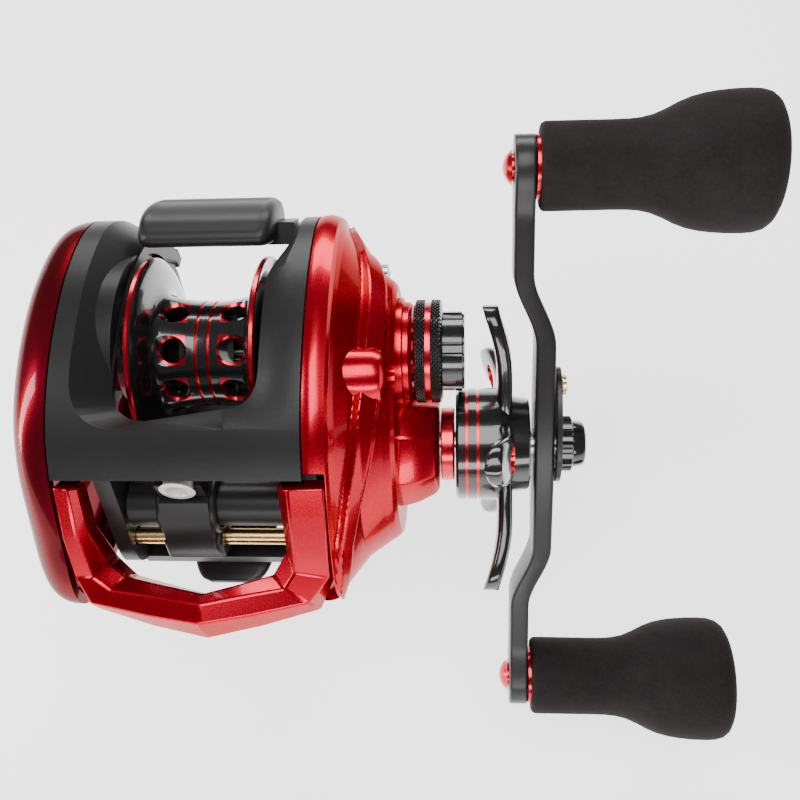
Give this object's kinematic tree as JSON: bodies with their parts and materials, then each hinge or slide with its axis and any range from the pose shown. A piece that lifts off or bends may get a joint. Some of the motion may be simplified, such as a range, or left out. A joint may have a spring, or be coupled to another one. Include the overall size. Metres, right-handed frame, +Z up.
{
  "type": "baitcasting fishing reel",
  "caption": "Low-profile baitcasting fishing reel with a levelwind line guide, star drag, cast tension cap and a double-knob power handle.",
  "frame": {"origin": "underside of the reel foot, directly below the spool axis", "axes": "+X towards the handle along the spool axis, -Y towards the rod tip and the line opening, +Z up away from the rod"},
  "size_m": [0.1297, 0.0932, 0.099],
  "materials": {
    "candy_red": "bright candy red lacquer on a moulded composite plate, glossy",
    "dark_candy_red": "deep candy red lacquer on a moulded composite plate, glossy",
    "satin_black": "satin black paint",
    "gloss_black": "gloss black anodised",
    "red_anodised": "red anodised aluminium",
    "steel": "bright turned steel",
    "brass": "machined brass",
    "aluminium": "plain machined aluminium",
    "foam": "matte closed-cell EVA foam",
    "black_plastic": "moulded black plastic",
    "ceramic": "polished ceramic ring"
  },
  "bodies": {
    "body": {"frame": "satin_black", "reel_foot": "satin_black", "front_foot_screw": "steel", "rear_foot_screw": "steel", "hood": "satin_black", "nose_guard": "candy_red", "palm_side_plate": "dark_candy_red", "gear_side_plate": "candy_red", "plate_screw_1": "steel", "plate_screw_2": "steel", "plate_screw_3": "steel", "yoke_post_front": "steel", "yoke_post_rear": "steel", "spool_bearing_left": "steel", "spool_bearing_right": "steel", "pinion_bearing": "steel", "drive_shaft_bearing": "steel", "one_way_bearing": "steel", "worm_bush_left": "brass", "worm_bush_right": "brass", "worm_shield": "satin_black", "guide_rod": "brass"},
    "crank": {"drive_shaft": "steel", "drive_gear": "brass", "drag_washer": "black_plastic", "pressure_plate": "steel", "roller_sleeve": "steel", "shaft_collar": "red_anodised", "drag_spring_washer": "steel", "levelwind_drive_gear": "black_plastic", "handle_arm": "satin_black", "nut_retainer": "satin_black", "retainer_screw": "brass", "handle_nut": "gloss_black", "knob_post_upper": "red_anodised", "knob_post_lower": "red_anodised"},
    "spool_group": {"spool": "gloss_black", "spool_shaft": "steel", "brake_rotor": "aluminium"},
    "yoke": {"clutch_yoke": "steel"},
    "pinion": {"pinion_gear": "brass"},
    "thumb_clutch": {"thumb_bar": "satin_black", "clutch_slider": "steel"},
    "worm": {"worm_shaft": "steel", "worm_gear": "black_plastic"},
    "line_guide_group": {"line_guide": "satin_black", "guide_eyelet": "ceramic", "pawl_cap": "satin_black"},
    "pawl": {"levelwind_pawl": "steel"},
    "star": {"star_drag_wheel": "gloss_black"},
    "drag_nut_group": {"drag_nut": "brass"},
    "upper_knob": {"knob_upper": "foam", "knob_bushing_upper": "red_anodised"},
    "lower_knob": {"knob_lower": "foam", "knob_bushing_lower": "red_anodised"},
    "cap": {"tension_cap": "gloss_black", "tension_shim": "black_plastic"},
    "dial": {"brake_dial": "gloss_black"},
    "magnets": {"magnet_holder": "black_plastic"}
  },
  "joints": [
    {"name": "crank_spin", "type": "hinge", "parent": "body", "child": "crank", "pos_m": [0, -0.012, 0.012], "axis": [1, 0, 0], "continuous": true},
    {"name": "spool_spin", "type": "hinge", "parent": "body", "child": "spool_group", "pos_m": [0, 0, 0.026], "axis": [1, 0, 0], "continuous": true},
    {"name": "yoke_lift", "type": "slide", "parent": "body", "child": "yoke", "axis": [1, 0, 0], "range_m": [0, 0.0014]},
    {"name": "pinion_spin", "type": "hinge", "parent": "yoke", "child": "pinion", "pos_m": [0, 0, 0.026], "axis": [1, 0, 0], "continuous": true},
    {"name": "thumb_bar_press", "type": "slide", "parent": "body", "child": "thumb_clutch", "axis": [0, 0.45, -0.893], "range_m": [0, 0.0035]},
    {"name": "worm_spin", "type": "hinge", "parent": "body", "child": "worm", "pos_m": [0, -0.028, 0.02025], "axis": [1, 0, 0], "continuous": true},
    {"name": "line_guide_travel", "type": "slide", "parent": "body", "child": "line_guide_group", "axis": [1, 0, 0], "range_m": [-0.0054, 0.0116]},
    {"name": "pawl_swivel", "type": "hinge", "parent": "line_guide_group", "child": "pawl", "pos_m": [-0.0032, -0.028, 0.012], "axis": [0, 0, 1], "range_deg": [-30, 30]},
    {"name": "star_drag_turn", "type": "hinge", "parent": "crank", "child": "star", "pos_m": [0, -0.012, 0.012], "axis": [1, 0, 0], "range_deg": [-180, 180]},
    {"name": "drag_nut_travel", "type": "slide", "parent": "crank", "child": "drag_nut_group", "axis": [1, 0, 0], "range_m": [-0.00055, 0.00055]},
    {"name": "upper_knob_spin", "type": "hinge", "parent": "crank", "child": "upper_knob", "pos_m": [0.0582, 0.02259, 0.04948], "axis": [1, 0, 0], "continuous": true},
    {"name": "lower_knob_spin", "type": "hinge", "parent": "crank", "child": "lower_knob", "pos_m": [0.0582, -0.04659, -0.02548], "axis": [1, 0, 0], "continuous": true},
    {"name": "tension_cap_turn", "type": "hinge", "parent": "body", "child": "cap", "pos_m": [0, 0, 0.026], "axis": [1, 0, 0], "range_deg": [-180, 180]},
    {"name": "brake_dial_turn", "type": "hinge", "parent": "body", "child": "dial", "pos_m": [0, 0, 0.026], "axis": [1, 0, 0], "range_deg": [0, 270]},
    {"name": "magnet_travel", "type": "slide", "parent": "body", "child": "magnets", "axis": [1, 0, 0], "range_m": [0, 0.0016]}
  ],
  "couplings": [
    {"joint": "spool_spin", "follows": "crank_spin", "ratio": -8.1},
    {"joint": "pinion_spin", "follows": "crank_spin", "ratio": -8.1},
    {"joint": "worm_spin", "follows": "crank_spin", "ratio": -1.6087},
    {"joint": "yoke_lift", "follows": "thumb_bar_press", "ratio": 0.4},
    {"joint": "drag_nut_travel", "follows": "star_drag_turn", "m_per_rad": -0.0001592},
    {"joint": "magnet_travel", "follows": "brake_dial_turn", "m_per_rad": 0.0003183}
  ]
}
